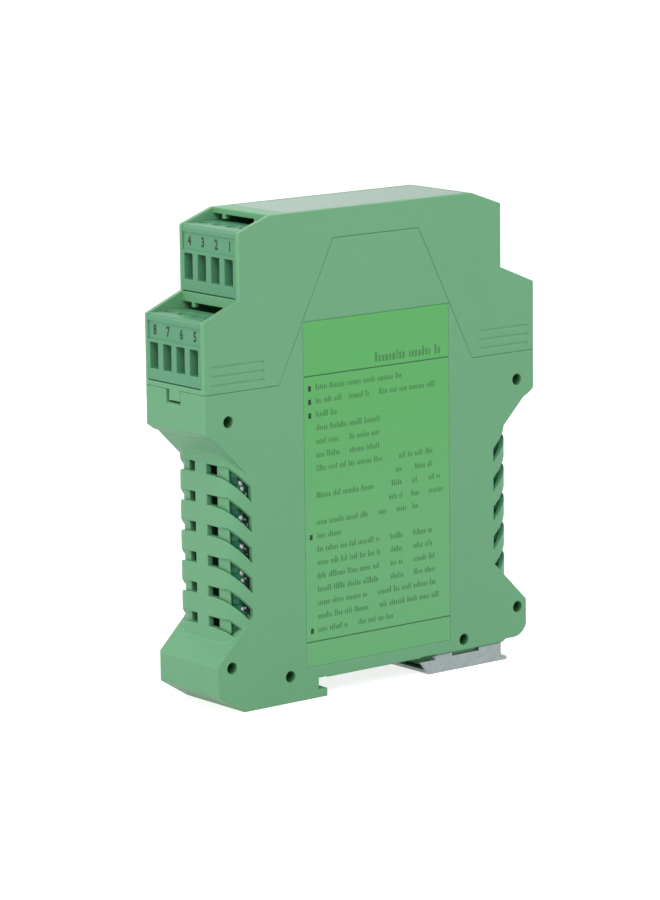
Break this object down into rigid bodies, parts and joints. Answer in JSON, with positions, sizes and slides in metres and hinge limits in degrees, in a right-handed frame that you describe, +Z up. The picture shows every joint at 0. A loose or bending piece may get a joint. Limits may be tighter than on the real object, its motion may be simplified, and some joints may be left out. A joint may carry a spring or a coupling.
{
  "type": "signal isolator",
  "caption": "Slim rail-mounted signal isolator in a vented green housing, with pluggable screw terminals on both ends and a sprung metal foot latch.",
  "frame": {"origin": "centre of the bounding box in plan, at the lowest face of the foot", "axes": "+X along the housing, from the fixed hook's end to the latch's end; +Y across its width, away from the labelled side; +Z up from the rail to the front plate"},
  "size_m": [0.099, 0.0226, 0.1145],
  "materials": {
    "shell": "moulded green plastic with a fine grain",
    "plate": "smooth light grey plastic",
    "label": "satin coated label",
    "latch_steel": "zinc-plated sheet steel",
    "spring_steel": "drawn spring wire",
    "board": "green solder mask on glass-fibre laminate",
    "ferrite": "ground ferrite",
    "bobbin": "black moulded plastic",
    "copper": "yellow tape over the winding",
    "can": "dark sleeve on an aluminium can",
    "chip": "black moulding compound",
    "tin": "tin-plated brass, dull bright",
    "header": "moulded green plastic",
    "plug": "moulded green plastic",
    "screw": "zinc-plated steel",
    "cage": "zinc-plated steel"
  },
  "bodies": {
    "housing": {"base": "shell", "cover": "shell", "front_plate": "plate", "side_label": "label", "latch_spring": "spring_steel", "main_board": "board", "transformer_core": "ferrite", "transformer_bobbin": "bobbin", "transformer_winding": "copper", "filter_capacitors": "can", "optocouplers": "chip", "control_chips": "chip", "header_pins": "tin", "header_1": "header", "header_2": "header", "header_3": "header", "header_4": "header"},
    "foot_latch": {"foot_latch": "latch_steel"},
    "plug_1": {"plug_1": "plug", "contacts_1": "tin"},
    "plug_2": {"plug_2": "plug", "contacts_2": "tin"},
    "plug_3": {"plug_3": "plug", "contacts_3": "tin"},
    "plug_4": {"plug_4": "plug", "contacts_4": "tin"},
    "clamp_screw_1": {"clamp_screw_1": "screw"},
    "clamp_cage_1": {"clamp_cage_1": "cage"},
    "clamp_screw_2": {"clamp_screw_2": "screw"},
    "clamp_cage_2": {"clamp_cage_2": "cage"},
    "clamp_screw_3": {"clamp_screw_3": "screw"},
    "clamp_cage_3": {"clamp_cage_3": "cage"},
    "clamp_screw_4": {"clamp_screw_4": "screw"},
    "clamp_cage_4": {"clamp_cage_4": "cage"},
    "clamp_screw_5": {"clamp_screw_5": "screw"},
    "clamp_cage_5": {"clamp_cage_5": "cage"},
    "clamp_screw_6": {"clamp_screw_6": "screw"},
    "clamp_cage_6": {"clamp_cage_6": "cage"},
    "clamp_screw_7": {"clamp_screw_7": "screw"},
    "clamp_cage_7": {"clamp_cage_7": "cage"},
    "clamp_screw_8": {"clamp_screw_8": "screw"},
    "clamp_cage_8": {"clamp_cage_8": "cage"},
    "clamp_screw_9": {"clamp_screw_9": "screw"},
    "clamp_cage_9": {"clamp_cage_9": "cage"},
    "clamp_screw_10": {"clamp_screw_10": "screw"},
    "clamp_cage_10": {"clamp_cage_10": "cage"},
    "clamp_screw_11": {"clamp_screw_11": "screw"},
    "clamp_cage_11": {"clamp_cage_11": "cage"},
    "clamp_screw_12": {"clamp_screw_12": "screw"},
    "clamp_cage_12": {"clamp_cage_12": "cage"},
    "clamp_screw_13": {"clamp_screw_13": "screw"},
    "clamp_cage_13": {"clamp_cage_13": "cage"},
    "clamp_screw_14": {"clamp_screw_14": "screw"},
    "clamp_cage_14": {"clamp_cage_14": "cage"},
    "clamp_screw_15": {"clamp_screw_15": "screw"},
    "clamp_cage_15": {"clamp_cage_15": "cage"},
    "clamp_screw_16": {"clamp_screw_16": "screw"},
    "clamp_cage_16": {"clamp_cage_16": "cage"}
  },
  "joints": [
    {"name": "latch_slide", "type": "slide", "parent": "housing", "child": "foot_latch", "axis": [1, 0, 0], "range_m": [0, 0.004], "stiffness_N_per_m": 400, "springref_m": -0.003, "deforming": ["latch_spring"]},
    {"name": "plug_1_slide", "type": "slide", "parent": "housing", "child": "plug_1", "axis": [-1, 0, 0], "range_m": [0, 0.02]},
    {"name": "plug_2_slide", "type": "slide", "parent": "housing", "child": "plug_2", "axis": [-1, 0, 0], "range_m": [0, 0.02]},
    {"name": "plug_3_slide", "type": "slide", "parent": "housing", "child": "plug_3", "axis": [1, 0, 0], "range_m": [0, 0.02]},
    {"name": "plug_4_slide", "type": "slide", "parent": "housing", "child": "plug_4", "axis": [1, 0, 0], "range_m": [0, 0.02]},
    {"name": "screw_1_turn", "type": "hinge", "parent": "plug_1", "child": "clamp_screw_1", "pos_m": [-0.03365, -0.00762, 0.1092], "axis": [0, 0, 1], "range_deg": [-2160, 0]},
    {"name": "cage_1_lift", "type": "slide", "parent": "plug_1", "child": "clamp_cage_1", "axis": [0, 0, 1], "range_m": [0, 0.003]},
    {"name": "screw_2_turn", "type": "hinge", "parent": "plug_1", "child": "clamp_screw_2", "pos_m": [-0.03365, -0.00254, 0.1092], "axis": [0, 0, 1], "range_deg": [-2160, 0]},
    {"name": "cage_2_lift", "type": "slide", "parent": "plug_1", "child": "clamp_cage_2", "axis": [0, 0, 1], "range_m": [0, 0.003]},
    {"name": "screw_3_turn", "type": "hinge", "parent": "plug_1", "child": "clamp_screw_3", "pos_m": [-0.03365, 0.00254, 0.1092], "axis": [0, 0, 1], "range_deg": [-2160, 0]},
    {"name": "cage_3_lift", "type": "slide", "parent": "plug_1", "child": "clamp_cage_3", "axis": [0, 0, 1], "range_m": [0, 0.003]},
    {"name": "screw_4_turn", "type": "hinge", "parent": "plug_1", "child": "clamp_screw_4", "pos_m": [-0.03365, 0.00762, 0.1092], "axis": [0, 0, 1], "range_deg": [-2160, 0]},
    {"name": "cage_4_lift", "type": "slide", "parent": "plug_1", "child": "clamp_cage_4", "axis": [0, 0, 1], "range_m": [0, 0.003]},
    {"name": "screw_5_turn", "type": "hinge", "parent": "plug_2", "child": "clamp_screw_5", "pos_m": [-0.0439, -0.00762, 0.0896], "axis": [0, 0, 1], "range_deg": [-2160, 0]},
    {"name": "cage_5_lift", "type": "slide", "parent": "plug_2", "child": "clamp_cage_5", "axis": [0, 0, 1], "range_m": [0, 0.003]},
    {"name": "screw_6_turn", "type": "hinge", "parent": "plug_2", "child": "clamp_screw_6", "pos_m": [-0.0439, -0.00254, 0.0896], "axis": [0, 0, 1], "range_deg": [-2160, 0]},
    {"name": "cage_6_lift", "type": "slide", "parent": "plug_2", "child": "clamp_cage_6", "axis": [0, 0, 1], "range_m": [0, 0.003]},
    {"name": "screw_7_turn", "type": "hinge", "parent": "plug_2", "child": "clamp_screw_7", "pos_m": [-0.0439, 0.00254, 0.0896], "axis": [0, 0, 1], "range_deg": [-2160, 0]},
    {"name": "cage_7_lift", "type": "slide", "parent": "plug_2", "child": "clamp_cage_7", "axis": [0, 0, 1], "range_m": [0, 0.003]},
    {"name": "screw_8_turn", "type": "hinge", "parent": "plug_2", "child": "clamp_screw_8", "pos_m": [-0.0439, 0.00762, 0.0896], "axis": [0, 0, 1], "range_deg": [-2160, 0]},
    {"name": "cage_8_lift", "type": "slide", "parent": "plug_2", "child": "clamp_cage_8", "axis": [0, 0, 1], "range_m": [0, 0.003]},
    {"name": "screw_9_turn", "type": "hinge", "parent": "plug_3", "child": "clamp_screw_9", "pos_m": [0.03365, -0.00762, 0.1092], "axis": [0, 0, 1], "range_deg": [-2160, 0]},
    {"name": "cage_9_lift", "type": "slide", "parent": "plug_3", "child": "clamp_cage_9", "axis": [0, 0, 1], "range_m": [0, 0.003]},
    {"name": "screw_10_turn", "type": "hinge", "parent": "plug_3", "child": "clamp_screw_10", "pos_m": [0.03365, -0.00254, 0.1092], "axis": [0, 0, 1], "range_deg": [-2160, 0]},
    {"name": "cage_10_lift", "type": "slide", "parent": "plug_3", "child": "clamp_cage_10", "axis": [0, 0, 1], "range_m": [0, 0.003]},
    {"name": "screw_11_turn", "type": "hinge", "parent": "plug_3", "child": "clamp_screw_11", "pos_m": [0.03365, 0.00254, 0.1092], "axis": [0, 0, 1], "range_deg": [-2160, 0]},
    {"name": "cage_11_lift", "type": "slide", "parent": "plug_3", "child": "clamp_cage_11", "axis": [0, 0, 1], "range_m": [0, 0.003]},
    {"name": "screw_12_turn", "type": "hinge", "parent": "plug_3", "child": "clamp_screw_12", "pos_m": [0.03365, 0.00762, 0.1092], "axis": [0, 0, 1], "range_deg": [-2160, 0]},
    {"name": "cage_12_lift", "type": "slide", "parent": "plug_3", "child": "clamp_cage_12", "axis": [0, 0, 1], "range_m": [0, 0.003]},
    {"name": "screw_13_turn", "type": "hinge", "parent": "plug_4", "child": "clamp_screw_13", "pos_m": [0.0439, -0.00762, 0.0896], "axis": [0, 0, 1], "range_deg": [-2160, 0]},
    {"name": "cage_13_lift", "type": "slide", "parent": "plug_4", "child": "clamp_cage_13", "axis": [0, 0, 1], "range_m": [0, 0.003]},
    {"name": "screw_14_turn", "type": "hinge", "parent": "plug_4", "child": "clamp_screw_14", "pos_m": [0.0439, -0.00254, 0.0896], "axis": [0, 0, 1], "range_deg": [-2160, 0]},
    {"name": "cage_14_lift", "type": "slide", "parent": "plug_4", "child": "clamp_cage_14", "axis": [0, 0, 1], "range_m": [0, 0.003]},
    {"name": "screw_15_turn", "type": "hinge", "parent": "plug_4", "child": "clamp_screw_15", "pos_m": [0.0439, 0.00254, 0.0896], "axis": [0, 0, 1], "range_deg": [-2160, 0]},
    {"name": "cage_15_lift", "type": "slide", "parent": "plug_4", "child": "clamp_cage_15", "axis": [0, 0, 1], "range_m": [0, 0.003]},
    {"name": "screw_16_turn", "type": "hinge", "parent": "plug_4", "child": "clamp_screw_16", "pos_m": [0.0439, 0.00762, 0.0896], "axis": [0, 0, 1], "range_deg": [-2160, 0]},
    {"name": "cage_16_lift", "type": "slide", "parent": "plug_4", "child": "clamp_cage_16", "axis": [0, 0, 1], "range_m": [0, 0.003]}
  ],
  "couplings": [
    {"joint": "screw_1_turn", "follows": "cage_1_lift", "rad_per_m": -12566},
    {"joint": "screw_2_turn", "follows": "cage_2_lift", "rad_per_m": -12566},
    {"joint": "screw_3_turn", "follows": "cage_3_lift", "rad_per_m": -12566},
    {"joint": "screw_4_turn", "follows": "cage_4_lift", "rad_per_m": -12566},
    {"joint": "screw_5_turn", "follows": "cage_5_lift", "rad_per_m": -12566},
    {"joint": "screw_6_turn", "follows": "cage_6_lift", "rad_per_m": -12566},
    {"joint": "screw_7_turn", "follows": "cage_7_lift", "rad_per_m": -12566},
    {"joint": "screw_8_turn", "follows": "cage_8_lift", "rad_per_m": -12566},
    {"joint": "screw_9_turn", "follows": "cage_9_lift", "rad_per_m": -12566},
    {"joint": "screw_10_turn", "follows": "cage_10_lift", "rad_per_m": -12566},
    {"joint": "screw_11_turn", "follows": "cage_11_lift", "rad_per_m": -12566},
    {"joint": "screw_12_turn", "follows": "cage_12_lift", "rad_per_m": -12566},
    {"joint": "screw_13_turn", "follows": "cage_13_lift", "rad_per_m": -12566},
    {"joint": "screw_14_turn", "follows": "cage_14_lift", "rad_per_m": -12566},
    {"joint": "screw_15_turn", "follows": "cage_15_lift", "rad_per_m": -12566},
    {"joint": "screw_16_turn", "follows": "cage_16_lift", "rad_per_m": -12566}
  ]
}
